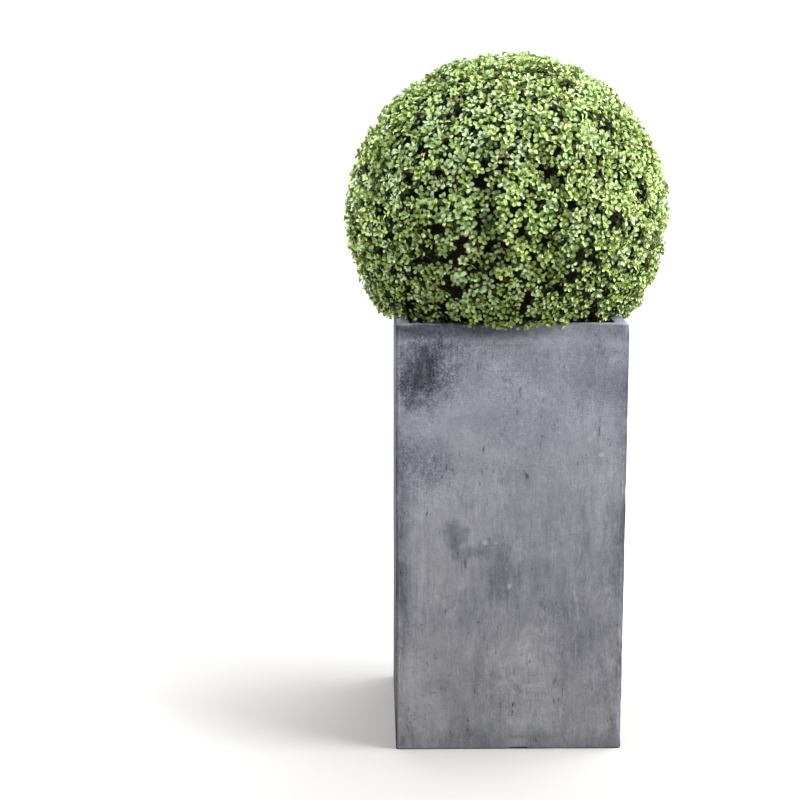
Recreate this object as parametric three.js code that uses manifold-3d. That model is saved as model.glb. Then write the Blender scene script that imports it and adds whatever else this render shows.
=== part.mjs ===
// A clipped box ball standing in a tall square planter.
//
// Millimetres, +Z up. The origin is the centre of the planter's underside, and the planter's front faces -Y.
// The foliage is one clipped mass: a core of packed growth with a flat foot, and short sprays of paired leaves
// that stand out of it on every side. Its leaves are larger and fewer than a real plant's.

import * as THREE from "three";
import { mergeVertices } from "three/addons/utils/BufferGeometryUtils.js";
import Module from "manifold-3d";

const wasm = await Module();
wasm.setup();

// Driving dimensions

const PLANTER_WIDTH = 420;
const PLANTER_HEIGHT = 800;
const PLANTER_CORNER_RADIUS = 5;
const PLANTER_EDGE_BEVEL = 3;
const WALL_THICKNESS = 10;
const FLOOR_THICKNESS = 15;
const RIM_WIDTH = 25;
const RIM_DEPTH = 30;
const CORNER_STEPS = 3; // facets in a rounded corner

// The shallow weep slot under the front wall, right of the middle
const SLOT_WIDTH = 33;
const SLOT_HEIGHT = 3.5;
const SLOT_LENGTH = 60;
const SLOT_OFFSET = 19;

const FILL_DROP = 58; // from the rim's top down to the fill at the walls
const FILL_MOUND = 9; // rise of the fill towards the stem
const FILL_CELLS = 10; // across the mound, each way

const BALL_RADIUS = 305; // to the tips of the leaves
const BALL_CENTRE_HEIGHT = 980;
const CORE_RADIUS = 254; // passes inside the planter's mouth
const CORE_FOOT_HEIGHT = 776; // its flat foot, just below the rim's top
const CORE_DETAIL = 3;
const OVERHANG_DROP = 10; // how far leaves hang below the rim where the ball is wider than the planter

const STEM_TOP_RADIUS = 17;
const STEM_FLARE_RADIUS = 34;
const STEM_SIDES = 14;
const STEM_STEPS = 5; // up the flare

// The sprays: one twig each, with opposite pairs of leaves, each pair a quarter turn from the last.
// Rises are measured from the twig's foot. Every spray is slid along its place's direction until its
// furthest tip meets the clipped surface.
const SPRAY_PLACES = 135;
const SPRAY_JITTER = 0.035; // sideways, as a share of the distance from the ball's centre
const SPRAY_LEAN = THREE.MathUtils.degToRad(13);
const SPRAY_SEED = 36;
const CLIP_DEPTH = 4; // how far below the clipped surface the shortest sprays end
const TWIG_RADIUS = 7;
const TWIG_LENGTH = 58;
const PAIRS = [
  { rise: 25, splay: THREE.MathUtils.degToRad(60), size: 1.0 },
  { rise: 39, splay: THREE.MathUtils.degToRad(38), size: 0.86 },
];
const LEAF_LENGTH = 52;
const LEAF_WIDTH = 36;
const LEAF_THICKNESS = 3.2; // at the middle
const LEAF_WIDEST_AT = 0.5; // as a share of the length
const LEAF_TIP_WIDTH = 0.55; // of the blunt tip, as a share of the width
const LEAF_ROOT_DEPTH = 0.5; // how far the leaf's root passes the twig's axis

const FIT_GAP = 0.3; // between pieces that touch
const LEAF_CLEARANCE = 2; // between the leaves and the planter
const WAY_SHARES = [0, 0.25, 0.5, 0.75, 1]; // where a leaf's way is tested
const SHORTEST_EDGE = 0.05; // shorter ones, left where leaves cross, are closed up
const OVERSHOOT = 5; // how far a cut runs past the face that it opens

// Sizes worked out from them

const halfWidth = PLANTER_WIDTH / 2;
const cavityWidth = PLANTER_WIDTH - 2 * WALL_THICKNESS;
const mouthWidth = PLANTER_WIDTH - 2 * RIM_WIDTH;
const fillWidth = cavityWidth - 2 * FIT_GAP;
const fillFloor = FLOOR_THICKNESS + FIT_GAP;
const fillEdgeHeight = PLANTER_HEIGHT - FILL_DROP;
const stemFoot = fillEdgeHeight + FILL_MOUND + FIT_GAP;
const stemTop = CORE_FOOT_HEIGHT - FIT_GAP;
const ballCentre = new THREE.Vector3(0, 0, BALL_CENTRE_HEIGHT);

// A random number from 0 to 1, the same sequence for the same seed.
function seededRandom(seed) {
  let state = seed >>> 0;
  return () => {
    state = (Math.imul(state, 1664525) + 1013904223) >>> 0;
    return state / 4294967296;
  };
}

// A closed geometry as a solid that can be joined and cut.
function solidOf(geometry) {
  const bare = geometry.clone();
  bare.deleteAttribute("normal");
  bare.deleteAttribute("uv");
  const merged = mergeVertices(bare, 1e-4);
  return new wasm.Manifold(
    new wasm.Mesh({
      numProp: 3,
      vertProperties: new Float32Array(merged.attributes.position.array),
      triVerts: new Uint32Array(merged.index.array),
    }),
  );
}

function geometryOf(solid) {
  const mesh = solid.getMesh();
  const positions = new Float32Array(mesh.numVert * 3);
  for (let i = 0; i < mesh.numVert; i += 1) {
    const start = i * mesh.numProp;
    positions.set(mesh.vertProperties.subarray(start, start + 3), i * 3);
  }
  const geometry = new THREE.BufferGeometry();
  geometry.setAttribute("position", new THREE.BufferAttribute(positions, 3));
  geometry.setIndex(new THREE.BufferAttribute(new Uint32Array(mesh.triVerts), 1));
  const faceted = geometry.toNonIndexed();
  faceted.computeVertexNormals();
  return faceted;
}

// Joins many solids, two by two, which keeps each step small.
function joinAll(solids) {
  let round = solids;
  while (round.length > 1) {
    const next = [];
    for (let i = 0; i < round.length; i += 2) {
      next.push(i + 1 < round.length ? round[i].add(round[i + 1]) : round[i]);
    }
    round = next;
  }
  return round[0];
}

// The outer skin of the largest body: scraps that touch nothing are dropped and sealed hollows are filled.
function oneBody(solid) {
  return solid.decompose().reduce((best, part) => (part.volume() > best.volume() ? part : best));
}

function box(width, depth, height, x, y, z) {
  return new THREE.BoxGeometry(width, depth, height).translate(x, y, z);
}

// Planter

function roundedSquare(width, radius) {
  const inner = width / 2 - radius;
  const shape = new THREE.Shape();
  shape.absarc(inner, inner, radius, 0, Math.PI / 2);
  shape.absarc(-inner, inner, radius, Math.PI / 2, Math.PI);
  shape.absarc(-inner, -inner, radius, Math.PI, 1.5 * Math.PI);
  shape.absarc(inner, -inner, radius, 1.5 * Math.PI, 2 * Math.PI);
  return shape;
}

function planterGeometry() {
  const bodyShape = roundedSquare(
    PLANTER_WIDTH - 2 * PLANTER_EDGE_BEVEL,
    PLANTER_CORNER_RADIUS - PLANTER_EDGE_BEVEL,
  );
  const body = new THREE.ExtrudeGeometry(bodyShape, {
    depth: PLANTER_HEIGHT - 2 * PLANTER_EDGE_BEVEL,
    curveSegments: CORNER_STEPS,
    bevelSize: PLANTER_EDGE_BEVEL,
    bevelThickness: PLANTER_EDGE_BEVEL,
    bevelSegments: CORNER_STEPS,
  }).translate(0, 0, PLANTER_EDGE_BEVEL);

  const cavityTop = PLANTER_HEIGHT - RIM_DEPTH;
  const cavityHeight = cavityTop - FLOOR_THICKNESS;
  const cavity = box(cavityWidth, cavityWidth, cavityHeight, 0, 0, FLOOR_THICKNESS + cavityHeight / 2);
  const mouth = new THREE.ExtrudeGeometry(roundedSquare(mouthWidth, PLANTER_CORNER_RADIUS), {
    depth: RIM_DEPTH + 2 * OVERSHOOT,
    curveSegments: CORNER_STEPS,
    bevelEnabled: false,
  }).translate(0, 0, cavityTop - OVERSHOOT);
  const slotDepth = SLOT_LENGTH + OVERSHOOT;
  const slotMiddle = slotDepth / 2 - halfWidth - OVERSHOOT;
  const slot = box(SLOT_WIDTH, slotDepth, 2 * SLOT_HEIGHT, SLOT_OFFSET, slotMiddle, 0);

  const cuts = [cavity, mouth, slot].map(solidOf);
  return geometryOf(cuts.reduce((solid, cut) => solid.subtract(cut), solidOf(body)));
}

// Fill: a block that fits the planter's inside, with a low mound on top

function fillGeometry() {
  const height = fillEdgeHeight - fillFloor;
  const geometry = new THREE.BoxGeometry(fillWidth, fillWidth, height, FILL_CELLS, FILL_CELLS, 1);
  geometry.translate(0, 0, fillFloor + height / 2);
  const position = geometry.attributes.position;
  for (let i = 0; i < position.count; i += 1) {
    if (position.getZ(i) > fillEdgeHeight - FIT_GAP) {
      const across = Math.cos((Math.PI * position.getX(i)) / fillWidth);
      const along = Math.cos((Math.PI * position.getY(i)) / fillWidth);
      position.setZ(i, fillEdgeHeight + FILL_MOUND * across * along);
    }
  }
  return geometryOf(solidOf(geometry));
}

// Stem: a short trunk from a flat cut on the fill to the foot of the foliage

function stemGeometry() {
  const rise = stemTop - stemFoot;
  const profile = [new THREE.Vector2(0, 0)];
  for (let i = 0; i <= STEM_STEPS; i += 1) {
    const share = i / STEM_STEPS;
    const flare = (STEM_FLARE_RADIUS - STEM_TOP_RADIUS) * (1 - share) ** 2;
    profile.push(new THREE.Vector2(STEM_TOP_RADIUS + flare, share * rise));
  }
  profile.push(new THREE.Vector2(0, rise));
  const geometry = new THREE.LatheGeometry(profile, STEM_SIDES);
  return geometryOf(solidOf(geometry.rotateX(Math.PI / 2).translate(0, 0, stemFoot)));
}

// Foliage

// True where a leaf may be: inside the ball, and either above the rim or hanging just outside it.
function inSpace(point) {
  const besidePlanter = Math.max(Math.abs(point.x), Math.abs(point.y)) > halfWidth + LEAF_CLEARANCE;
  const lowest = PLANTER_HEIGHT + (besidePlanter ? -OVERHANG_DROP : LEAF_CLEARANCE);
  return point.z > lowest && point.distanceTo(ballCentre) <= BALL_RADIUS + FIT_GAP;
}

// True if the leaf has room all the way from its root to each of its corners.
function hasRoom(leaf) {
  const [root, ...corners] = pointsOf(leaf);
  return corners.every((corner) => WAY_SHARES.every((share) => inSpace(root.clone().lerp(corner, share))));
}

// Direction number i of an even spread over a whole sphere.
function spreadDirection(i, count) {
  const z = 1 - (2 * i + 1) / count;
  const turn = i * Math.PI * (3 - Math.sqrt(5));
  const across = Math.sqrt(1 - z * z);
  return new THREE.Vector3(across * Math.cos(turn), across * Math.sin(turn), z);
}

// Any direction square to the one given, turned about it by angle.
function sideOf(direction, angle) {
  const helper = Math.abs(direction.z) < 0.9 ? new THREE.Vector3(0, 0, 1) : new THREE.Vector3(1, 0, 0);
  return helper.cross(direction).normalize().applyAxisAngle(direction, angle);
}

// One leaf with its root at the origin, along +Y, upper side to +Z: narrow root, broad middle, blunt tip.
// Its underside is flat and its upper side rises to the middle.
function leafGeometry(size) {
  const length = LEAF_LENGTH * size;
  const half = (LEAF_WIDTH * size) / 2;
  const middle = LEAF_WIDEST_AT * length;
  const outline = [
    [0, -LEAF_ROOT_DEPTH, 0],
    [half, middle, 0],
    [LEAF_TIP_WIDTH * half, length, 0],
    [-LEAF_TIP_WIDTH * half, length, 0],
    [-half, middle, 0],
  ];
  const top = [0, middle, LEAF_THICKNESS];
  const geometry = new THREE.BufferGeometry();
  geometry.setAttribute("position", new THREE.Float32BufferAttribute([...outline, top].flat(), 3));
  const upperSide = outline.flatMap((_, i) => [i, (i + 1) % outline.length, outline.length]);
  const underside = [0, 2, 1, 0, 3, 2, 0, 4, 3];
  geometry.setIndex([...upperSide, ...underside]);
  return geometry;
}

// A leaf on its twig, its upper side towards the twig's tip.
function leafOnTwig(root, direction, twigAxis, size) {
  const upper = twigAxis.clone().addScaledVector(direction, -twigAxis.dot(direction)).normalize();
  const across = direction.clone().cross(upper);
  const matrix = new THREE.Matrix4().makeBasis(across, direction, upper).setPosition(root);
  return leafGeometry(size).applyMatrix4(matrix);
}

// A slim three-sided twig from the origin to its bud.
function twigGeometry(axis) {
  const turn = new THREE.Quaternion().setFromUnitVectors(new THREE.Vector3(0, 1, 0), axis);
  return new THREE.ConeGeometry(TWIG_RADIUS, TWIG_LENGTH, 3, 1)
    .translate(0, TWIG_LENGTH / 2, 0)
    .applyQuaternion(turn);
}

function pointsOf(geometry) {
  const position = geometry.attributes.position;
  return Array.from({ length: position.count }, (_, i) =>
    new THREE.Vector3().fromBufferAttribute(position, i));
}

// How far the points, moved together from the ball's centre along the direction, can go before one of
// them is the given distance from the centre.
function slideToReach(points, direction, reach) {
  return Math.min(...points.map((point) => {
    const along = point.dot(direction);
    return Math.sqrt(reach * reach - point.lengthSq() + along * along) - along;
  }));
}

// One spray's solids: its twig, which comes first, and those of its leaves that have room.
function spraySolids(place, random) {
  const outward = place.clone().addScaledVector(sideOf(place, random() * 2 * Math.PI), random() * SPRAY_JITTER);
  outward.normalize();
  const axis = outward.clone().applyAxisAngle(sideOf(outward, random() * 2 * Math.PI), random() * SPRAY_LEAN);
  const turnOfFirst = random() * Math.PI;
  const twig = twigGeometry(axis);
  const leaves = PAIRS.flatMap((pair, k) => [0, Math.PI].map((opposite) => {
    const side = sideOf(axis, turnOfFirst + (k * Math.PI) / 2 + opposite);
    const direction = axis.clone().multiplyScalar(Math.cos(pair.splay));
    direction.addScaledVector(side, Math.sin(pair.splay));
    return leafOnTwig(axis.clone().multiplyScalar(pair.rise), direction, axis, pair.size);
  }));

  const reach = BALL_RADIUS - random() * CLIP_DEPTH;
  const slide = slideToReach([twig, ...leaves].flatMap(pointsOf), outward, reach);
  const foot = ballCentre.clone().addScaledVector(outward, slide);
  const bud = foot.clone().addScaledVector(axis, TWIG_LENGTH);
  if (!inSpace(bud)) return [];
  const placed = [twig, ...leaves].map((piece) => piece.translate(foot.x, foot.y, foot.z));
  return placed.filter((piece, i) => i === 0 || hasRoom(piece)).map(solidOf);
}

// The packed growth the sprays stand out of: a ball with a flat foot.
function coreSolid() {
  const ball = new THREE.IcosahedronGeometry(CORE_RADIUS, CORE_DETAIL);
  ball.translate(ballCentre.x, ballCentre.y, ballCentre.z);
  const side = 2 * CORE_RADIUS;
  return solidOf(ball).subtract(solidOf(box(side, side, side, 0, 0, CORE_FOOT_HEIGHT - CORE_RADIUS)));
}

function foliageGeometry() {
  const random = seededRandom(SPRAY_SEED);
  const sprays = [];
  for (let i = 0; i < SPRAY_PLACES; i += 1) {
    sprays.push(...spraySolids(spreadDirection(i, SPRAY_PLACES), random));
  }
  return geometryOf(oneBody(joinAll([coreSolid(), ...sprays]).simplify(SHORTEST_EDGE)));
}

// The assembly

function part(name, geometry, color, roughness) {
  const material = new THREE.MeshStandardMaterial({ color, roughness, metalness: 0 });
  const mesh = new THREE.Mesh(geometry, material);
  mesh.name = name;
  return mesh;
}

const boxBall = new THREE.Group();
boxBall.name = "box_ball_in_planter";
boxBall.add(
  part("planter", planterGeometry(), 0x8c8d95, 0.75),
  part("potting_fill", fillGeometry(), 0x2b211a, 0.95),
  part("stem", stemGeometry(), 0x5b4a38, 0.85),
  part("foliage_ball", foliageGeometry(), 0x6f8448, 0.6),
);

export default boxBall;
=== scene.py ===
"""The looks of a clipped box ball in a tall square planter.

Metres, +Z up, with the origin under the middle of the planter and its front facing -Y. The foliage grows by
the rule of the solid one, carried on to finer twigs: boughs spread evenly over the ball, each forks into
twigs, and each twig has opposite pairs of leaves, every pair a quarter turn from the last.
"""

import math

import bmesh
import bpy
import numpy as np
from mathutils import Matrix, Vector, noise


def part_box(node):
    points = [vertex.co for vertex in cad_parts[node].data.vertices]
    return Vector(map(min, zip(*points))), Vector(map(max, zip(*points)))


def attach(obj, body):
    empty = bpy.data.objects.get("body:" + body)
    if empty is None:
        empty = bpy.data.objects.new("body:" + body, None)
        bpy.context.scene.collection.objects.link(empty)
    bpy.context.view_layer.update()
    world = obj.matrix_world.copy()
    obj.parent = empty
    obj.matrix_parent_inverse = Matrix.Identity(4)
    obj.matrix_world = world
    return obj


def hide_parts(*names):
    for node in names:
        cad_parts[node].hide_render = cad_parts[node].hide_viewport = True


TAU = 2 * math.pi
GOLDEN_TURN = math.pi * (3 - math.sqrt(5))

# The photograph's camera, solved from the planter's corners

CAMERA_PLACE = (-0.2500, -3.3391, 1.2155)
CAMERA_TURN = math.radians(0.869)  # to the right of straight ahead
CAMERA_TILT = math.radians(10.02)  # down from level
CAMERA_LENS = 79.35
SENSOR = 36.0
CLIP_END = 50

# The planter and what is in it

CORNER_RADIUS = 0.0036
EDGE_RADIUS = 0.003
WALL = 0.010
FLOOR = 0.015
RIM_WIDTH = 0.025
RIM_DEPTH = 0.030
SLOT_FROM = 0.0025
SLOT_TO = 0.0355
SLOT_HEIGHT = 0.0035
SLOT_REACH = 0.060
MOUTH_EDGE = 0.002
INNER_CORNER = 0.001
FACE_COLUMNS = 83  # points along each side's straight run
FACE_CELL = 0.005
CORNER_STEPS = 4
RIM_STEPS = 4
MOUTH_STEPS = 5
INSIDE_STEPS = 8
RELIEF = 0.0009  # how deep hand finishing goes
RELIEF_MIDDLE = 0.36
# The relief's noise: how many to the metre across and up, where it is taken, and its strength
RELIEF_NOISE = ((8, 6, (0, 0), 0.55), (34, 13, (5, 0), 0.3), (80, 60, (0, 3), 0.12))
RELIEF_FROM, RELIEF_RISE = 0.004, 0.02  # it starts this far up, and is full this much further
CORNER_WEAR = 0.0020
CORNER_REACH = 0.012
# The wear's noise: how far apart the corners take it and where, how many to the metre up, and its strength
WEAR_NOISE = ((3.7, 0, 17, 1.0), (5.1, 2, 52, 0.6))
PLANTER_SHARP = 40  # degrees between faces that show as a sharp edge
FILL_POINTS = 73  # along each side
FILL_MOUND = 0.009
CRUMB_DEPTH = 0.006
CRUMB_NOISE = ((24, 1, 1.0), (55, 2, 0.5))  # how fine it is, where it is taken, and its strength
CRUMB_GAIN = 1.6
STEM_TOP = 0.017
STEM_FOOT = 0.034
STEM_RIDGES = 0.93  # as a share of the solid's radius
# The bark's furrows: how many around and up, where they are taken, how narrow they are, and how deep
BARK_FURROWS = ((3.2, 0.9, 0, 2.2, 0.13), (8, 3, 5, 2, 0.05))
SOFT_SHARP = 60

# The ball

BALL_RADIUS = 0.305
BALL_CENTRE = np.array([0.0012, 0.0, 0.9795])
CORE_RADIUS = 0.256
CORE_FINENESS = 6
CORE_LUMPS = ((24, 0.003), (60, 0.0015))  # how fine and how deep
OVERHANG_DROP = 0.010
LEAF_CLEARANCE = 0.0008
FOLIAGE_SEED = 36

BOUGH_PLACES = 690
BOUGH_JITTER = 0.036  # sideways, as a share of the ball's radius
BOUGH_FOOT = 0.244  # from the ball's centre
BOUGH_FORK = 0.268
BOUGH_SPREAD = 0.0255  # how far its twigs end from its own line
TWIGS_EACH = 6
TWIG_FAN = 0.38  # how far the outer twigs lean away from the bough
TWIG_LEAN = 0.16  # the most that chance adds
TWIG_SPACING = (0.85, 1.15)  # by chance, how far from its bough's line a twig ends
TWIG_BOW = 0.004
TWIG_RADII = (0.0011, 0.0009, 0.0005)
BOUGH_RADII = (0.0026, 0.0014)
BOUGH_OVERLAP = 0.001  # how far a bough runs into the foot of its twigs
REACH = 0.3080  # the furthest tips stand a little out of the clipped surface
CLIP_DEPTH = 0.0046  # how far short of that the tips end on average
CLIP_SPREAD = 0.0042
SHORT_TWIGS = 0.27  # the share that ends deeper
SHORT_DEPTH = 0.018
SHORT_BOUGHS = 0.08  # the share whose twigs all end deeper
SHORT_BOUGH_DEPTH = (0.009, 0.019)
BUD_RISE = 0.0068  # from a twig's end to the tips of its topmost leaves

# Gaps on the front, as the camera sees them: across and up from the ball's middle, and how wide, in radii
GAPS = (
    (-0.09, 0.13, 0.050), (-0.12, -0.03, 0.076), (-0.06, -0.13, 0.064), (-0.30, -0.23, 0.062),
    (-0.50, -0.24, 0.048), (-0.52, 0.37, 0.046), (0.32, 0.24, 0.050), (0.68, -0.01, 0.040),
    (-0.31, -0.48, 0.056), (0.27, -0.16, 0.036), (0.36, -0.16, 0.036), (0.46, -0.24, 0.046),
    (-0.42, 0.28, 0.040), (-0.63, 0.22, 0.040),
)
NEARER = 1.085  # how much larger the front of the ball shows than its outline
GAP_DEPTH = 0.027  # how much deeper the twigs in a gap end

# Each pair of leaves from the bud down: how far below the twig's end it grows, the leaf's length, how far it
# stands away from the twig in degrees, and which of its kind's colours its blade and its root take. The
# deeper pairs take the older colours, partly real age and partly painted shade, and the inner ones, painted
# shade
LEAF_PAIRS = (
    (0.0000, 0.0048, 26, 1, 1),
    (0.0004, 0.0108, 52, 0, 1),
    (0.0018, 0.0120, 61, 0, 1),
    (0.0060, 0.0124, 68, 0, 1),
    (0.0106, 0.0126, 72, 2, 2),
    (0.0162, 0.0122, 76, 2, 3),
    (0.0224, 0.0118, 79, 3, 3),
    (0.0294, 0.0112, 82, 3, 3),
)
LEAF_HALF_WIDTH = 0.305  # as a share of the length
LEAF_SIDE = ((0.32, 0.50), (0.64, 1.0), (0.90, 0.74))  # along the leaf, and share of the half width
LEAF_FOLD = 0.42  # how steeply the halves rise from the midrib
LEAF_RECURVE = 0.06
TWIG_LEAF_SIZES = (0.88, 1.12)  # by chance, for all of a twig's leaves and for each leaf
LEAF_SIZES = (0.92, 1.08)
LEAF_TURN = 0.25  # how far chance turns a leaf about its twig, away from it, and about its own midrib
LEAF_SPLAY = 0.22
LEAF_ROLL = 0.30

# Leaf colours, dealt out by twig: each kind's share, and its blades, their greener roots, the older and the
# innermost leaves, in sRGB levels out of 255. The darker roots are partly painted shade where the leaves meet
# the twig, the older leaves partly painted shade, and the near-black innermost leaves painted shade
LEAF_KINDS = (
    ("fresh", 0.28, ((184, 205, 132), (118, 147, 44), (64, 88, 22), (22, 30, 5))),
    ("mid", 0.28, ((172, 198, 132), (102, 137, 46), (56, 80, 22), (20, 27, 5))),
    ("sage", 0.26, ((180, 200, 154), (108, 140, 62), (61, 84, 35), (21, 28, 7))),
    # The dull kind is a duller tone in patches, and painted shade on the ball's underside
    ("dull", 0.15, ((143, 164, 88), (71, 92, 28), (32, 43, 10), (14, 18, 4))),
    ("russet", 0.015, ((132, 134, 90), (92, 92, 50), (50, 46, 24), (26, 22, 10))),
    # The light kind is painted light, dealt to the twigs on the lit upper right
    ("light", 0.0, ((171, 193, 129), (136, 165, 76), (106, 133, 56), (26, 34, 6))),
)
FRESH_KIND, MID_KIND, DULL_AND_SHADED_KIND, PAINTED_LIGHT_KIND = 0, 1, 3, 5
LIKE_BOUGH = 0.6  # the share of twigs that take their bough's kind
STRAYS = 0.12  # the share of leaves that take a kind by chance
PATCH_SCALE = 3.2  # how small the patches of duller boughs are
PATCH_SHARE = 2.2  # how quickly their share grows into a patch, and how far
PATCH_MOST = 0.9
SIDE_FROM, SIDE_TO = 0.5, 1.2  # how far out to the sides the mid twigs turn fresh, in radii
LIGHT_ACROSS, LIGHT_UP = 0.85, 0.55  # painted light: the way in which the twigs take the light kind, to the upper right
LIGHT_FROM, LIGHT_TO = 0.22, 0.80  # how far that way they do, in radii
LOW_FROM = -0.1  # painted shade: the share of dull twigs grows from here down, in radii below the ball's middle
LOW_SPAN = 0.7
LOW_SHARE = 0.85
LOW_SHORT = 0.20  # how large a further share of the twigs ends deeper at the ball's foot
LOW_SMALLER = 0.22  # how much smaller the leaves are there
AGE_NAMES = ("blade", "root", "older", "inner")
AGE_ROUGHNESS = (0.50, 0.55, 0.60, 0.7)
LEAF_SHEEN = 0.28

# The stage and the light

FLOOR_COLOUR = (0.39, 0.384, 0.378)
WORLD_COLOUR = (1.0, 0.99, 0.97)
WORLD_STRENGTH = 0.15
WHITE = (1.0, 1.0, 1.0)
WARM = (1.0, 0.985, 0.94)
COOL = (0.97, 0.985, 1.0)
MIDDLE = (0, 0, 0.9)
# Area lights: place, what each faces, size, power in watts, and for some colour and spread in degrees
LIGHTS = (
    ("key", (4.8, -1.6, 3.2), MIDDLE, (3.4, 3.4), 635, WARM),
    ("top", (1.3, 1.5, 4.2), (0.7, 1.3, 0), (5.5, 6.5), 260),
    ("right", (3.6, 0.7, 2.6), MIDDLE, (3.0, 2.6), 230),
    ("left", (-3.0, -0.7, 3.7), (-0.2, 0, 1.0), (1.6, 1.6), 66, COOL),
    ("left_ball", (-3.0, -0.8, 3.5), (-0.14, 0, 1.06), (0.8, 0.8), 3.6, COOL, 22),
    ("floor_left", (-1.9, -1.0, 3.6), (-1.40, -0.25, 0), (1.0, 0.8), 13.5, WHITE, 30),
    ("backdrop", (0, 3.0, 5.6), (0, 7.2, 2.0), (8.0, 1.5), 800),
)

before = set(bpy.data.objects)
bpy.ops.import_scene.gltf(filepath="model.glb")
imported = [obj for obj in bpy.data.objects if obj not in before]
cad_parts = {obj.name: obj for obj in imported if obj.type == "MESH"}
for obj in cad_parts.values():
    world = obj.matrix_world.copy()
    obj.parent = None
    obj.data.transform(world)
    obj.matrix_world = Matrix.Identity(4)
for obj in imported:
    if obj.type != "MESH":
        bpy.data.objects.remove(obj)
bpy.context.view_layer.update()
planter_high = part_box("planter")[1]
fill_low, fill_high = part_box("potting_fill")
stem_low, stem_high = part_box("stem")
foliage_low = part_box("foliage_ball")[0]
HALF_WIDTH = planter_high.x
RIM_TOP = planter_high.z


# Meshes and materials

def new_piece(name, vertices, faces, materials, kinds=None):
    """A piece of the foliage from arrays: all its faces have the same number of corners."""
    vertices = np.asarray(vertices, np.float32).reshape(-1, 3)
    faces = np.asarray(faces, np.int32)
    corners = faces.shape[1]
    mesh = bpy.data.meshes.new(name)
    mesh.vertices.add(len(vertices))
    mesh.vertices.foreach_set("co", vertices.ravel())
    mesh.loops.add(faces.size)
    mesh.loops.foreach_set("vertex_index", faces.ravel())
    mesh.polygons.add(len(faces))
    mesh.polygons.foreach_set("loop_start", np.arange(0, faces.size, corners, dtype=np.int32))
    smooth_faces(mesh)
    for material in materials:
        mesh.materials.append(material)
    if kinds is not None:
        mesh.polygons.foreach_set("material_index", np.asarray(kinds, np.int32))
    mesh.update(calc_edges=True)
    mesh.validate()
    finish_piece(name, mesh, "foliage_ball")


def add_shape(name, vertices, faces, material, replaced, sharp):
    """A piece from lists of points and faces, with edges that show as sharp from an angle on."""
    mesh = bpy.data.meshes.new(name)
    mesh.from_pydata([tuple(map(float, v)) for v in vertices], [], faces)
    smooth_faces(mesh)
    mesh.set_sharp_from_angle(angle=math.radians(sharp))
    mesh.materials.append(material)
    finish_piece(name, mesh, replaced)


def ring_faces(rows, columns, first=0):
    """The faces between rings of points, row by row from the first ring up."""
    faces = []
    for low in range(first, first + rows * columns, columns):
        for column in range(columns):
            after = (column + 1) % columns
            faces.append((low + column, low + after, low + columns + after, low + columns + column))
    return faces


def smooth_faces(mesh):
    mesh.polygons.foreach_set("use_smooth", np.ones(len(mesh.polygons), bool))


def new_object(name, data):
    made = bpy.data.objects.new(name, data)
    bpy.context.scene.collection.objects.link(made)
    return made


def finish_piece(name, mesh, replaced):
    """Makes a mesh a piece, says what it rides on, and hides the part that it stands for."""
    piece = new_object(name, mesh)
    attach(piece, "root")
    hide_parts(replaced)


def srgb(*levels):
    """A linear colour from sRGB levels out of 255."""
    shares = [level / 255 for level in levels]
    return tuple(s / 12.92 if s <= 0.04045 else ((s + 0.055) / 1.055) ** 2.4 for s in shares)


def new_material(name, roughness, specular=0.5):
    """A material and its Principled shader."""
    material = bpy.data.materials.new(name)
    material.use_nodes = True
    shader = material.node_tree.nodes["Principled BSDF"]
    shader.inputs["Roughness"].default_value = roughness
    shader.inputs["Specular IOR Level"].default_value = specular
    return material, shader


def plain_material(name, roughness, colour, specular=0.5):
    material, shader = new_material(name, roughness, specular)
    shader.inputs["Base Color"].default_value = (*colour, 1)
    return material


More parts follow.
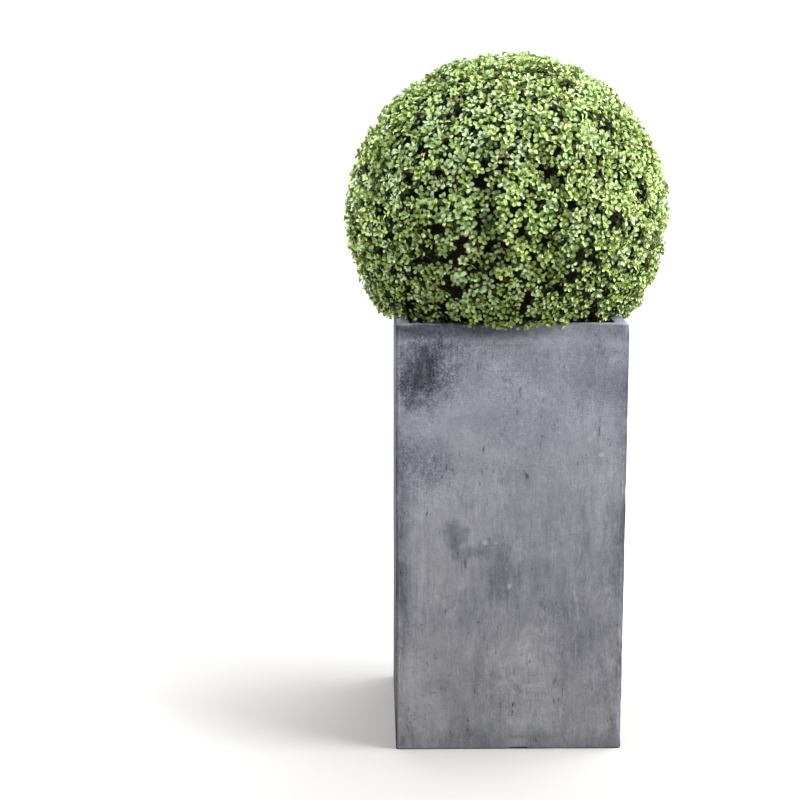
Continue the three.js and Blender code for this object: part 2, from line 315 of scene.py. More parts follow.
class Nodes:
    """Short ways to add the nodes that the patterns are made of."""

    def __init__(self, tree):
        self.tree = tree
        coordinates = tree.nodes.new("ShaderNodeTexCoord")
        self.place = coordinates.outputs["Object"]
        self.facing = coordinates.outputs["Normal"]

    def add(self, kind, inputs, **settings):
        node = self.tree.nodes.new(kind)
        for key, value in settings.items():
            setattr(node, key, value)
        for key, value in inputs.items():
            self.plug(value, node.inputs[key])
        return node

    def plug(self, value, socket):
        if isinstance(value, bpy.types.NodeSocket):
            self.tree.links.new(value, socket)
        else:
            socket.default_value = value

    def math(self, operation, a, b=0.0, c=0.0):
        return self.add("ShaderNodeMath", {0: a, 1: b, 2: c}, operation=operation).outputs[0]

    def vector(self, operation, a, b=(0, 0, 0)):
        return self.add("ShaderNodeVectorMath", {0: a, 1: b}, operation=operation).outputs[0]

    def noise(self, scale, detail, rough, place=None):
        """Noise: how many to the metre, how many finer layers it has, and how strong they are."""
        place = self.place if place is None else place
        inputs = {"Vector": place, "Scale": scale, "Detail": detail, "Roughness": rough}
        return self.add("ShaderNodeTexNoise", inputs).outputs[0]

    def stretched(self, scale, offset=(0, 0, 0), place=None):
        place = self.place if place is None else place
        inputs = {"Vector": place, "Scale": scale, "Location": offset}
        return self.add("ShaderNodeMapping", inputs).outputs[0]

    def shifted(self, place, scale, reach):
        """A place moved by noise, so that outlines wander."""
        inputs = {"Vector": place, "Scale": scale, "Detail": 3.0, "Roughness": 0.6}
        colour = self.add("ShaderNodeTexNoise", inputs).outputs["Color"]
        centred = self.vector("SUBTRACT", colour, (0.5, 0.5, 0.5))
        inputs = {0: centred, 1: (reach, reach, reach), 2: place}
        return self.add("ShaderNodeVectorMath", inputs, operation="MULTIPLY_ADD").outputs[0]

    def around(self, level, value, strength):
        """A level changed by a noise's distance from its middle, times the strength."""
        return self.math("MULTIPLY_ADD", self.math("SUBTRACT", value, 0.5), strength, level)

    def span(self, value, low, high, to_low=0.0, to_high=1.0, smooth=True):
        """A value's share of the way from low to high, between to_low and to_high."""
        kind = "SMOOTHSTEP" if smooth else "LINEAR"
        inputs = {"Value": value, "From Min": low, "From Max": high, "To Min": to_low, "To Max": to_high}
        return self.add("ShaderNodeMapRange", inputs, interpolation_type=kind).outputs[0]

    def ramp(self, value, stops):
        """Colours along a value: stops are (place, sRGB levels)."""
        node = self.add("ShaderNodeValToRGB", {"Fac": value})
        elements = node.color_ramp.elements
        while len(elements) < len(stops):
            elements.new(0.5)
        for element, (place, levels) in zip(elements, stops):
            element.position = place
            element.color = (*srgb(*levels), 1)
        return node.outputs["Color"]

    def blend(self, share, a, b):
        return self.add("ShaderNodeMix", {0: share, 6: a, 7: b}, data_type="RGBA").outputs[2]

    def bump(self, height, strength, distance):
        inputs = {"Height": height, "Strength": strength, "Distance": distance}
        return self.add("ShaderNodeBump", inputs).outputs[0]


# The camera

def add_camera():
    data = bpy.data.cameras.new("camera")
    data.lens = CAMERA_LENS
    data.sensor_width = SENSOR
    data.clip_end = CLIP_END
    camera = new_object("camera", data)
    camera.location = CAMERA_PLACE
    camera.rotation_euler = (math.pi / 2 - CAMERA_TILT, 0, -CAMERA_TURN)
    bpy.context.scene.camera = camera


# The foliage

def unit(vectors):
    return vectors / np.linalg.norm(vectors, axis=-1, keepdims=True)


def spread_directions(count):
    """Directions spread evenly over a whole sphere."""
    i = np.arange(count)
    z = 1 - (2 * i + 1) / count
    across = np.sqrt(1 - z * z)
    turn = i * GOLDEN_TURN
    return np.stack([across * np.cos(turn), across * np.sin(turn), z], axis=1)


def side_of(directions, angles):
    """For each direction, a direction square to it, turned about it by the angle."""
    steep = np.abs(directions[..., 2:]) > 0.9
    helper = np.where(steep, [1.0, 0.0, 0.0], [0.0, 0.0, 1.0])
    first = unit(np.cross(helper, directions))
    second = np.cross(directions, first)
    return first * np.cos(angles)[..., None] + second * np.sin(angles)[..., None]


def in_space(points):
    """True for the points where foliage may be: in the ball, above the rim, beside it, or in the mouth."""
    reach = np.linalg.norm(points - BALL_CENTRE, axis=-1)
    beside = np.abs(points[..., :2]).max(axis=-1)
    in_mouth = beside < HALF_WIDTH - RIM_WIDTH - LEAF_CLEARANCE
    outside = beside > HALF_WIDTH + LEAF_CLEARANCE
    lowest = np.where(outside, RIM_TOP - OVERHANG_DROP, RIM_TOP + LEAF_CLEARANCE)
    lowest = np.where(in_mouth, foliage_low.z, lowest)
    return (reach <= REACH) & (points[..., 2] > lowest)


def grow_boughs(rng):
    """Which way each bough points."""
    places = spread_directions(BOUGH_PLACES)
    sideways = rng.uniform(0, BOUGH_JITTER, BOUGH_PLACES)[:, None]
    outward = unit(places + side_of(places, rng.uniform(0, TAU, BOUGH_PLACES)) * sideways)
    lowest = BALL_CENTRE[2] + outward[:, 2] * BALL_RADIUS
    return outward[lowest > foliage_low.z - BOUGH_SPREAD]


def grow_twigs(boughs, rng):
    """The twigs of each bough: their bough's number, axis and end."""
    count = len(boughs) * TWIGS_EACH
    bough = np.repeat(np.arange(len(boughs)), TWIGS_EACH)
    step = np.tile(np.arange(TWIGS_EACH), len(boughs))
    outward = boughs[bough]
    first_turn = np.repeat(rng.uniform(0, TAU, len(boughs)), TWIGS_EACH)
    share = np.sqrt((step + 0.5) / TWIGS_EACH) * rng.uniform(*TWIG_SPACING, count)
    sideways = side_of(outward, first_turn + step * GOLDEN_TURN)
    towards = unit(outward + sideways * (share * BOUGH_SPREAD / BALL_RADIUS)[:, None])
    chance = side_of(towards, rng.uniform(0, TAU, count)) * rng.uniform(0, TWIG_LEAN, count)[:, None]
    axis = unit(towards + sideways * (share * TWIG_FAN)[:, None] + chance)
    depth = np.abs(rng.normal(CLIP_DEPTH, CLIP_SPREAD, count))
    short = rng.uniform(0, 1, count) < SHORT_TWIGS + LOW_SHORT * np.clip(-towards[:, 2], 0, 1)
    depth[short] = rng.uniform(CLIP_DEPTH, SHORT_DEPTH, short.sum())
    short_bough = rng.uniform(0, 1, len(boughs)) < SHORT_BOUGHS
    depth += (short_bough * rng.uniform(*SHORT_BOUGH_DEPTH, len(boughs)))[bough]
    to_camera = unit(np.array(CAMERA_PLACE) - BALL_CENTRE)
    right = unit(np.cross((0, 0, 1), to_camera))
    upright = np.cross(to_camera, right)
    for across, up, width in GAPS:
        across, up = across / NEARER, up / NEARER
        gap = right * across + upright * up + to_camera * math.sqrt(1 - across**2 - up**2)
        depth[np.linalg.norm(towards - gap, axis=1) < width] += GAP_DEPTH
    end = BALL_CENTRE + towards * (REACH - BUD_RISE - depth)[:, None]
    return bough, axis, end


def leaf_outline():
    """A leaf's points for a length of 1: across, along and up. Each half has root, middle, tip and side."""
    points = []
    for way in (-1, 1):
        points += [(0, 0, 0), (0, 0.5, 0), (0, 1, 0)]
        for along, share in LEAF_SIDE:
            half = share * LEAF_HALF_WIDTH
            points.append((way * half, along, half * LEAF_FOLD))
    outline = np.array(points)
    outline[:, 2] -= LEAF_RECURVE * outline[:, 1] ** 2
    return outline


# The halves share no points, so that the midrib shows as a crease
LEAF_FACES = np.array([
    (0, 1, 3), (1, 4, 3), (1, 5, 4), (1, 2, 5),
    (6, 9, 7), (7, 9, 10), (7, 10, 11), (7, 11, 8),
])
ROOT_FACES = np.isin(LEAF_FACES, (0, 6)).any(axis=1)


def grow_leaves(axis, end, rng):
    """Every leaf's points, and the number of its twig and of its pair."""
    outline = leaf_outline()
    count = len(axis)
    below = np.clip((BALL_CENTRE[2] - end[:, 2]) / BALL_RADIUS, 0, 1)
    twig_size = rng.uniform(*TWIG_LEAF_SIZES, count) * (1 - LOW_SMALLER * below)
    first_turn = rng.uniform(0, math.pi, count)
    points, twigs, pairs = [], [], []
    for number, (drop, length, splay, _, _) in enumerate(LEAF_PAIRS):
        for opposite in (0, math.pi):
            turn = first_turn + number * math.pi / 2 + opposite + rng.normal(0, LEAF_TURN, count)
            angle = np.radians(splay) + rng.normal(0, LEAF_SPLAY, count)
            side = side_of(axis, turn)
            along = axis * np.cos(angle)[:, None] + side * np.sin(angle)[:, None]
            upper = unit(axis * np.sin(angle)[:, None] - side * np.cos(angle)[:, None])
            across = np.cross(along, upper)
            roll = rng.normal(0, LEAF_ROLL, count)[:, None]
            cos, sin = np.cos(roll), np.sin(roll)
            upper, across = upper * cos + across * sin, across * cos - upper * sin
            size = (length * twig_size * rng.uniform(*LEAF_SIZES, count))[:, None, None]
            root = end - axis * drop
            shape = (
                outline[None, :, :1] * across[:, None]
                + outline[None, :, 1:2] * along[:, None]
                + outline[None, :, 2:] * upper[:, None]
            )
            points.append(root[:, None] + shape * size)
            twigs.append(np.arange(count))
            pairs.append(np.full(count, number))
    return np.concatenate(points), np.concatenate(twigs), np.concatenate(pairs)


def leaf_colours(twigs, pairs, bough, boughs, ends, rng):
    """The colour number of every face of every leaf: most of a twig's leaves are of one kind."""
    kinds = len(LEAF_KINDS)
    shares = np.array([kind[1] for kind in LEAF_KINDS])
    shares = shares / shares.sum()
    kind_of_twig = rng.choice(kinds, len(ends), p=shares)
    kind_of_bough = rng.choice(kinds, len(boughs), p=shares)
    patch = np.array([noise.noise(Vector(direction * PATCH_SCALE)) for direction in boughs])
    dull = rng.uniform(0, 1, len(boughs)) < np.clip(patch * PATCH_SHARE, 0, PATCH_MOST)
    kind_of_bough[dull] = DULL_AND_SHADED_KIND
    alike = rng.uniform(0, 1, len(ends)) < LIKE_BOUGH
    kind_of_twig[alike] = kind_of_bough[bough[alike]]
    # Painted shade: below the ball's middle, more and more twigs take the dull kind
    below = (BALL_CENTRE[2] - ends[:, 2]) / BALL_RADIUS
    shaded = rng.uniform(0, 1, len(ends)) < np.clip((below - LOW_FROM) / LOW_SPAN, 0, 1) * LOW_SHARE
    kind_of_twig[shaded] = DULL_AND_SHADED_KIND
    aside = np.abs(ends[:, 0]) / BALL_RADIUS > rng.uniform(SIDE_FROM, SIDE_TO, len(ends))
    kind_of_twig[aside & (kind_of_twig == MID_KIND)] = FRESH_KIND
    # Painted light: towards the upper right, twigs that aren't dull take the light kind
    outward = (LIGHT_ACROSS * ends[:, 0] - LIGHT_UP * (BALL_CENTRE[2] - ends[:, 2])) / BALL_RADIUS
    lit = outward > rng.uniform(LIGHT_FROM, LIGHT_TO, len(ends))
    kind_of_twig[lit & (kind_of_twig != DULL_AND_SHADED_KIND)] = PAINTED_LIGHT_KIND
    kind = kind_of_twig[twigs]
    stray = rng.uniform(0, 1, len(twigs)) < STRAYS
    kind[stray] = rng.choice(kinds, stray.sum(), p=shares)
    # Painted shade: the deeper pairs take the darker older and inner colours, and each leaf's root faces its
    # pair's root colour
    ages = np.array(LEAF_PAIRS)[pairs][:, 3:].astype(int)
    return kind[:, None] * len(AGE_NAMES) + np.where(ROOT_FACES, ages[:, 1:], ages[:, :1])


def tubes(lines, radii, sides=3):
    """Slim tapering tubes along lines, an array of lines by points by 3, open at both ends."""
    count, steps = lines.shape[:2]
    along = unit(lines[:, -1] - lines[:, 0])
    rings = []
    for k in range(sides):
        around = side_of(along, np.full(count, TAU * k / sides))
        rings.append(lines + around[:, None] * np.asarray(radii)[None, :, None])
    vertices = np.stack(rings, axis=2).reshape(count, steps * sides, 3)
    faces = ring_faces(steps - 1, sides)
    shift = np.arange(count)[:, None, None] * (steps * sides)
    return vertices.reshape(-1, 3), (np.array(faces)[None] + shift).reshape(-1, 4)


def add_leaves(points, colours):
    """The leaves in four pieces, one for each quarter of the ball."""
    materials = []
    for kind, _, kind_colours in LEAF_KINDS:
        for age, roughness, colour in zip(AGE_NAMES, AGE_ROUGHNESS, kind_colours):
            name = "leaf_" + kind + "_" + age
            materials.append(plain_material(name, roughness, srgb(*colour), LEAF_SHEEN))
    quarter = (points[:, 0, 0] > 0) * 1 + (points[:, 0, 1] > 0) * 2
    for number, name in enumerate(("front_left", "front_right", "back_left", "back_right")):
        chosen = quarter == number
        some = points[chosen]
        faces = LEAF_FACES[None] + np.arange(len(some))[:, None, None] * some.shape[1]
        new_piece("leaves_" + name, some, faces.reshape(-1, 3), materials, colours[chosen].ravel())


def add_twigs(boughs, bough, axis, end, twigs):
    """The boughs, and the twigs that kept more than half of their leaves."""
    kept, leaves_left = np.unique(twigs, return_counts=True)
    kept = kept[leaves_left > len(LEAF_PAIRS)]
    kept = kept[in_space(end[kept]) & in_space(BALL_CENTRE + boughs[bough[kept]] * BOUGH_FORK)]
    outward, axis, end = boughs[bough[kept]], axis[kept], end[kept]
    fork = BALL_CENTRE + outward * BOUGH_FORK
    elbow = (fork + end) / 2 + (outward - axis) * TWIG_BOW
    twig_vertices, twig_faces = tubes(np.stack([fork, elbow, end], axis=1), TWIG_RADII)
    foot = BALL_CENTRE + boughs * BOUGH_FOOT
    lines = np.stack([foot, BALL_CENTRE + boughs * (BOUGH_FORK + BOUGH_OVERLAP)], axis=1)
    bough_vertices, bough_faces = tubes(lines[in_space(lines).all(axis=1)], BOUGH_RADII)
    vertices = np.concatenate([twig_vertices, bough_vertices])
    faces = np.concatenate([twig_faces, bough_faces + len(twig_vertices)])
    new_piece("twigs", vertices, faces, [plain_material("twig_bark", 0.8, srgb(84, 66, 46))])


def add_foliage():
    rng = np.random.default_rng(FOLIAGE_SEED)
    boughs = grow_boughs(rng)
    bough, axis, end = grow_twigs(boughs, rng)
    points, twigs, pairs = grow_leaves(axis, end, rng)
    colours = leaf_colours(twigs, pairs, bough, boughs, end, rng)
    room = in_space(points).all(axis=1)
    add_leaves(points[room], colours[room])
    add_twigs(boughs, bough, axis, end, twigs[room])


def add_core():
    """The dark core behind the leaves, painted shade for the shaded twigs and leaves deep in the ball: a
    rough ball with a flat foot.
    """
    shape = bmesh.new()
    bmesh.ops.create_icosphere(shape, subdivisions=CORE_FINENESS, radius=CORE_RADIUS)
    for vertex in shape.verts:
        direction = vertex.co.normalized()
        rough = sum(noise.noise(direction * fine) * deep for fine, deep in CORE_LUMPS)
        vertex.co = direction * (CORE_RADIUS + rough) + Vector(BALL_CENTRE)
        vertex.co.z = max(vertex.co.z, foliage_low.z)
    mesh = bpy.data.meshes.new("shaded_core")
    shape.to_mesh(mesh)
    shape.free()
    smooth_faces(mesh)
    material, shader = new_material("shaded_core", 0.95)
    nodes = Nodes(material.node_tree)
    # Painted shade: dark browns and olive
    stops = [(0.35, (20, 14, 9)), (0.55, (38, 30, 18)), (0.75, (40, 46, 22))]
    nodes.plug(nodes.ramp(nodes.noise(70, 4, 0.7), stops), shader.inputs["Base Color"])
    mesh.materials.append(material)
    finish_piece("shaded_core", mesh, "foliage_ball")


# The planter, its fill and the stem

def ring_columns():
    """Shares along one side's straight run, with two of them on the slot's edges."""
    shares = np.linspace(-1, 1, FACE_COLUMNS)
    front = shares.copy()
    straight = HALF_WIDTH - CORNER_RADIUS
    edges = [int(np.abs(front - x / straight).argmin()) for x in (SLOT_FROM, SLOT_TO)]
    front[edges] = SLOT_FROM / straight, SLOT_TO / straight
    return shares, front, edges


def rounded_ring(half, radius, shares, front):
    """Points and outward directions around a rounded square, counter-clockwise from the front's left end."""
    run = half - radius
    points, outward = [], []
    for side in range(4):
        turn = side * math.pi / 2
        cos, sin = math.cos(turn), math.sin(turn)
        local = [(share * run, -half, 0.0, -1.0) for share in (front if side == 0 else shares)]
        for step in range(1, CORNER_STEPS):
            angle = math.pi / 2 * (step / CORNER_STEPS - 1)
            c, s = math.cos(angle), math.sin(angle)
            local.append((run + radius * c, -run + radius * s, c, s))
        for x, y, a, b in local:
            points.append((x * cos - y * sin, x * sin + y * cos))
            outward.append((a * cos - b * sin, a * sin + b * cos))
    return np.array(points), np.array(outward)


def planter_profile():
    """Rings from the outer foot up, over the rim and down the inside.

    Each is its half width, corner radius, height, and how far the surface there faces outward and up.
    """
    run = HALF_WIDTH - CORNER_RADIUS
    angles = np.linspace(0, math.pi / 2, CORNER_STEPS + 1)
    rows = []
    for a in angles:
        half = HALF_WIDTH - EDGE_RADIUS * (1 - math.sin(a))
        rows.append((half, half - run, EDGE_RADIUS * (1 - math.cos(a)), 0, 0))
    rows.append((HALF_WIDTH, CORNER_RADIUS, SLOT_HEIGHT, 0, 0))
    low, high = SLOT_HEIGHT + FACE_CELL, RIM_TOP - EDGE_RADIUS
    for z in np.linspace(low, high, round((high - low) / FACE_CELL) + 1):
        rows.append((HALF_WIDTH, CORNER_RADIUS, z, 1, 0))
    for a in angles[1:]:
        half = HALF_WIDTH - EDGE_RADIUS * (1 - math.cos(a))
        rows.append((half, half - run, high + EDGE_RADIUS * math.sin(a), math.cos(a), math.sin(a)))
    mouth = HALF_WIDTH - RIM_WIDTH
    outer, inner = HALF_WIDTH - EDGE_RADIUS, mouth + MOUTH_EDGE
    for share in np.linspace(0, 1, RIM_STEPS + 1)[1:]:
        radius = EDGE_RADIUS + (CORNER_RADIUS - EDGE_RADIUS) * share
        rows.append((outer + (inner - outer) * share, radius, RIM_TOP, 0, 1))
    for a in angles[1:]:
        half = mouth + MOUTH_EDGE * (1 - math.sin(a))
        z = RIM_TOP - MOUTH_EDGE * (1 - math.cos(a))
        rows.append((half, CORNER_RADIUS, z, -math.sin(a), math.cos(a)))
    for z in np.linspace(RIM_TOP - MOUTH_EDGE, RIM_TOP - RIM_DEPTH, MOUTH_STEPS + 1)[1:]:
        rows.append((mouth, CORNER_RADIUS, z, 0, 0))
    for z in np.linspace(RIM_TOP - RIM_DEPTH, FLOOR, INSIDE_STEPS + 1):
        rows.append((HALF_WIDTH - WALL, INNER_CORNER, z, 0, 0))
    return rows


def lowered(x, y, z):
    """How far hand finishing left this place of the outside below the moulded surface."""
    depth = RELIEF_MIDDLE
    for across, up, (from_x, from_y), strength in RELIEF_NOISE:
        depth += strength * noise.noise(Vector((x * across + from_x, y * across + from_y, z * up)))
    depth = RELIEF * min(max(depth, 0), 1)
    to_corner = HALF_WIDTH - min(abs(x), abs(y))
    if to_corner < CORNER_REACH:
        corner = (1 if x > 0 else 2) + (4 if y > 0 else 7)
        worn = 0
        for apart, start, up, strength in WEAR_NOISE:
            worn += strength * noise.noise(Vector((corner * apart, start, z * up)))
        depth += CORNER_WEAR * max(worn, 0) * (1 - to_corner / CORNER_REACH) ** 2
    return depth * min(max((z - RELIEF_FROM) / RELIEF_RISE, 0), 1)


def add_planter():
    shares, front, slot = ring_columns()
    columns = 4 * (FACE_COLUMNS + CORNER_STEPS - 1)
    vertices = []
    rows = planter_profile()
    for half, radius, z, out, up in rows:
        points, outward = rounded_ring(half, radius, shares, front)
        for (x, y), (a, b) in zip(points, outward):
            depth = lowered(x, y, z) if out or up else 0
            vertices.append((x - a * out * depth, y - b * out * depth, z - up * depth))

    slot_row = CORNER_STEPS + 1
    faces = []
    for number, face in enumerate(ring_faces(len(rows) - 1, columns)):
        row, column = divmod(number, columns)
        if row >= slot_row or not slot[0] <= column < slot[1]:
            faces.append(face)
    last = (len(rows) - 1) * columns
    faces.append(tuple(range(last, last + columns)))

    near, far = len(vertices), HALF_WIDTH - SLOT_REACH
    ends = ((SLOT_FROM, 0), (SLOT_TO, 0), (SLOT_TO, SLOT_HEIGHT), (SLOT_FROM, SLOT_HEIGHT))
    vertices += [(x, -far, z) for x, z in ends]
    foot_left, foot_right, top_right, top_left = range(near, near + 4)
    left_edge = [row * columns + slot[0] for row in range(slot_row + 1)]
    right_edge = [row * columns + slot[1] for row in range(slot_row + 1)]
    ceiling = [slot_row * columns + column for column in range(slot[0], slot[1] + 1)]
    faces.append(tuple(reversed(ceiling + [top_right, top_left])))
    faces.append(tuple(reversed(left_edge + [top_left, foot_left])))
    faces.append(tuple(right_edge + [top_right, foot_right]))
    faces.append((foot_left, foot_right, top_right, top_left))
    underside = list(range(slot[0] + 1)) + [foot_left, foot_right] + list(range(slot[1], columns))
    faces.append(tuple(reversed(underside)))
    add_shape("planter_shell", vertices, faces, planter_material(), "planter", PLANTER_SHARP)


# Marks on the planter's front, as they show: millimetres across from its middle and up from the ground, their
# half width and half height, and how many levels out of 255 they are darker (-) or lighter
# The broad dark marks at (150, 690) and (150, 150) are painted shade that takes back the stronger lamp light
# on the right half
FRONT_MARKS = (
    (-166, 722, 40, 54, -22), (-178, 684, 52, 58, -26), (-162, 704, 96, 110, -34), (-110, 745, 130, 50, -12),
    (70, 750, 200, 40, -4), (150, 690, 120, 130, -9), (205, 300, 70, 400, -5), (206, 570, 50, 80, -12),
    (-110, 628, 90, 62, 6), (-40, 660, 120, 60, 4), (-150, 545, 84, 84, -20), (-192, 420, 44, 380, -8),
    (-205, 400, 16, 440, -14), (-196, 250, 22, 160, -5), (-196, 410, 22, 110, -9), (-98, 412, 26, 46, -30),
    (-82, 384, 60, 22, -12), (-30, 382, 80, 36, -14), (-17, 326, 54, 84, -20), (46, 338, 60, 60, -8),
    (6, 524, 44, 34, -7), (110, 240, 150, 200, -8), (150, 150, 110, 240, -9), (-80, 590, 60, 60, 5),
    (138, 456, 12, 60, -13), (140, 398, 10, 40, -9), (95, 300, 20, 80, -8), (-137, 125, 50, 30, -9),
    # The pale mark at (-188, 800) is a painted highlight along the rim's top left edge
    (35, 26, 140, 24, -9), (204, 166, 14, 60, -16), (-93, 726, 6, 6, -40), (-188, 800, 26, 5, 34),
    (-188, 789, 34, 7, -16), (120, 800, 90, 4, -24), (29, 521, 5, 8, -52), (-118, 536, 3, 12, -40),
    (-111, 507, 3, 9, -36), (-126, 520, 3, 8, -30), (-140, 556, 3, 9, -30), (-83, 356, 4, 16, -40),
    (-186, 78, 3, 4, -42), (-181, 66, 4, 3, -34), (-184, 52, 3, 4, -42), (-175, 70, 3, 6, -28),
    (-190, 60, 3, 3, -34), (-111, 143, 6, 5, -18), (-113, 130, 5, 8, -18), (-124, 118, 9, 5, -18),
    (-142, 110, 10, 4, -16), (-160, 105, 9, 4, -14), (8, 147, 6, 9, -20), (-58, 246, 4, 5, -34),
    (-47, 397, 7, 7, 34), (-40, 404, 5, 5, -30), (-2, 314, 7, 8, 30), (121, 289, 7, 11, 18),
    (112, 276, 5, 6, 18), (50, 229, 7, 7, 16), (162, 560, 7, 6, 30), (152, 715, 3, 34, 20),
    (146, 655, 3, 46, 18), (207, 200, 4, 12, -44), (206, 176, 5, 20, -30), (208, 690, 11, 110, -26),
    (208, 470, 8, 120, -16), (-90, 352, 2, 24, -26), (-97, 376, 2, 12, -24), (-60, 392, 4, 4, 26),
    (-34, 388, 10, 3, 22), (-28, 396, 6, 4, 24), (-8, 346, 7, 5, 16), (40, 346, 3, 6, -26),
    (64, 272, 4, 7, -26), (38, 170, 3, 8, -28), (118, 300, 3, 10, 20), (126, 272, 3, 14, 16),
    (57, 222, 4, 5, 18), (66, 232, 3, 4, 18), (-30, 430, 2, 22, 16), (-16, 470, 2, 20, 16),
    (-22, 500, 2, 26, 16), (-32, 530, 2, 16, 14), (-46, 535, 5, 2, -26), (-56, 534, 3, 2, -24),
    (142, 590, 6, 5, 22), (150, 600, 3, 8, 20), (172, 600, 2, 26, 14), (128, 640, 2, 30, -12),
    (166, 690, 2, 40, -12), (178, 736, 2, 24, 16), (134, 738, 2, 20, -14), (-172, 300, 3, 60, -12),
    (-160, 240, 2, 50, -10), (-184, 340, 3, 70, -12), (-150, 330, 2, 60, -8), (20, 24, 26, 8, -12),
    (-171, 82, 4, 9, -16), (-174, 60, 8, 3, -16), (208, 330, 4, 14, -36), (-20, 762, 130, 2, -12),
    (10, 715, 110, 2, -10),
)
# Arcs that the float left: the middle of each, its half width and half height, and its change in levels
FRONT_ARCS = (
    (46, 150, 66, 60, 9), (46, 150, 54, 48, -9), (50, 152, 42, 36, 8),
    (52, 152, 30, 26, -6), (-20, 96, 150, 40, 6), (60, 80, 130, 46, -5),
)
ARC_FROM, ARC_MIDDLE, ARC_TO = 0.02, 0.06, 0.11  # where across the spot its line lies
ARC_BREAKS = (0.42, 0.6)
# Where the finish is speckled: as the marks, with the speckle's strength last
FRONT_ROUGH = (
    (-120, 738, 230, 140, 0.75), (-168, 716, 100, 116, 1.6), (-168, 724, 46, 52, -1.5),
    (150, 750, 120, 90, 0.5), (-165, 530, 110, 130, 0.9), (-190, 250, 60, 200, 0.3),
)
LEAST_ROUGH = 0.1
SPECKLE = 0.46

# The same by chance on the other faces, which are numbered from the front towards the right: how many marks,
# the range of their sizes and that of their changes, of which the small ones take one end
OTHER_FACES = (1, 2, 3)
CHANCE_MARKS = ((3, (60, 120), (-22, -10)), (5, (24, 60), (-18, -8)), (8, (3, 7), (-40, 28)))
CHANCE_ACROSS = (-195, 195)
CHANCE_HEIGHTS = (20, 780)
CHANCE_TALLNESS = (0.6, 1.7)
CHANCE_ROUGH = ((-120, 120), (600, 760), (180, 260), (110, 160))  # the ranges of one speckled spot
SMALL_MARK = 12  # marks with a lesser half width or half height have clean edges, and larger ones ragged
MARK_RAGGED = 1.5
MARK_SPAN = (0.10, 0.85)
MARK_DEPTH = 0.03  # how far marks reach into the stone

# The stone's tone

STONE_SEED = 7
STONE_LOW = 121  # levels out of 255, near the foot and near the top
STONE_HIGH = 132
STONE_HEIGHTS = (0.05, 0.72)
UPPER_HEIGHTS = (0.35, 0.75)  # between these the lower part's finish turns into the upper part's
# Places moved about by noise, so that what is drawn there wanders: the noise's scale, and how far it moves
MOVED = {"loose": (20, 0.07), "held": (18, 0.060), "near": (120, 0.006), "wavy": (9, 0.03)}
# Noise: how many to the metre, how many finer layers and how strong, where it is drawn, and for some how
# far it is pressed together along each axis, and its start
STONE_FIELDS = (
    ("clouds", 4.2, 3, 0.5, "loose"),
    ("patches", 15, 6, 0.68, "loose"),
    ("mottle", 85, 5, 0.72, "still"),
    ("grain", 430, 2, 0.6, "still"),
    ("streaks", 1, 4, 0.65, "wavy", (75, 75, 8), (0, 0, 0)),
    ("brush", 1, 3, 0.6, "wavy", (300, 300, 20), (2, 5, 1)),
    ("smooth", 11, 3, 0.6, "still", (1, 1, 0.6), (4, 9, 2)),
    ("speckle", 270, 3, 0.7, "still", (1, 1, 1), (3, 1, 8)),
    ("ragged", 55, 6, 0.75, "still"),
    ("drawn", 1, 4, 0.7, "wavy", (120, 120, 14), (6, 2, 3)),
    ("along", 1, 3, 0.6, "still", (7, 7, 1), (1, 3, 0)),
    ("holes", 115, 4, 0.75, "still"),
    ("flecks", 150, 4, 0.8, "still", (1, 1, 0.6), (7, 1, 4)),
    ("broken", 26, 3, 0.6, "still"),
    ("pale", 40, 3, 0.7, "still"),
    ("pits", 260, 4, 0.7, "still"),
    ("grooves", 1, 3, 0.6, "still", (240, 240, 18), (0, 0, 0)),
)
CLOUDS = 0.24
PATCHES = 0.20
# How strongly the finer noise changes the tone in the lower and in the upper part, and whether less on
# smooth places
FINE_FIELDS = (
    ("mottle", 0.115, 0.18, True),
    ("grain", 0.085, 0.22, True),
    ("streaks", 0.125, 0.04, False),
    ("brush", 0.155, 0.06, True),
)
SMOOTH_SPAN = (0.36, 0.62, 0.45, 1.3)
# Darker towards every edge of each face: the top, the foot and the corners
EDGE_CLOUDS = 0.16
EDGE_MOTTLE = 0.06
EDGE_DARK_SPAN = (0.045, -0.005)
EDGE_DARK_LOW, EDGE_DARK_HIGH = -9, -14
TOP_RAGGED = 0.020
FOOT_RAGGED = 0.05
HOLES_SPAN = (0.69, 0.75)
HOLES_CHANGE = -30
# Changes in tone: how many levels, and the spans of what each follows, from none of it to all of it. A dark
# band along the top, partly a stain and partly painted shadow under the overhanging foliage, a dark band
# along the foot, pale flecks, a dark broken line along each corner, and a broken pale line beside each.
EDGE_CHANGES = (
    # Partly painted shadow under the overhanging foliage
    (-34, ("top", 0.034, 0.013), ("along", 0.35, 0.6, 0.35, 1.0)),
    (-8, ("foot", 0.055, 0.010)),
    (20, ("flecks", 0.68, 0.74)),
    (-56, ("side", 0.0034, 0.0012), ("broken", 0.3, 0.5, 0.5, 1.0)),
    (24, ("side", 0.0048, 0.0062), ("side", 0.0086, 0.0068), ("pale", 0.45, 0.62)),
)
DARKEST = 0.16
# Painted light and shade by the way a surface faces: lighter on top as painted light, and darker on the left
# and the right as painted shade
PAINTED_FACING_LIGHT = (
    (26, ("up", 0.5, 0.95)),
    (-50, ("across", -0.8, -0.98)),
    (-46, ("across", 0.9, 0.99)),
)
# The tone's tint in the lower and the upper part, and where it is dark
LOWER_TINT = (0.99, 1.0, 1.052, 1)
UPPER_TINT = (0.975, 0.997, 1.085, 1)
DARK_TINT = (0.955, 0.985, 1.13, 1)
DARK_SPAN = (0.52, 0.34)
DARK_HEIGHTS = (0.1, 0.6, 0.25, 1.0)
SCREEN_GAMMA = 2.2
# The relief that is too fine for the mesh
PITS_SPAN = (0.35, 0.62)
GROOVE_RELIEF, MOTTLE_RELIEF, HOLE_RELIEF = 0.8, 1.6, -1.5
STONE_BUMP = (0.35, 0.0009)


